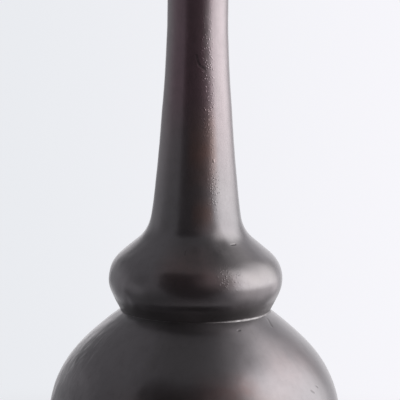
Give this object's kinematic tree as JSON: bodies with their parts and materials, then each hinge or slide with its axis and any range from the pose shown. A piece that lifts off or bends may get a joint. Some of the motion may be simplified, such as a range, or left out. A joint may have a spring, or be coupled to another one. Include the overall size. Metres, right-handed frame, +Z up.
{
  "type": "bottle vase",
  "caption": "Dark bronze bottle vase: long tapering neck with a flared mouth, round knop, squat globe body and foot ring; it stands on felt and holds flower stems.",
  "frame": {"origin": "centre of the felt's underside, on the surface that the vase stands on", "axes": "+Z up along the vase's axis; the vase is round, so +X and +Y only complete the frame"},
  "size_m": [0.1872, 0.1872, 0.3999],
  "materials": {
    "bronze": "dark brown-black waxed patina, semi-gloss",
    "bare_metal": "as spun, no patina",
    "felt": "dark pressed felt"
  },
  "bodies": {
    "root": {"mouth_ring": "bronze", "neck": "bronze", "body_upper": "bronze", "belly_strap": "bare_metal", "body_lower": "bronze", "foot_ring": "bronze", "base_plate": "bare_metal", "felt_pad": "felt"}
  },
  "joints": []
}
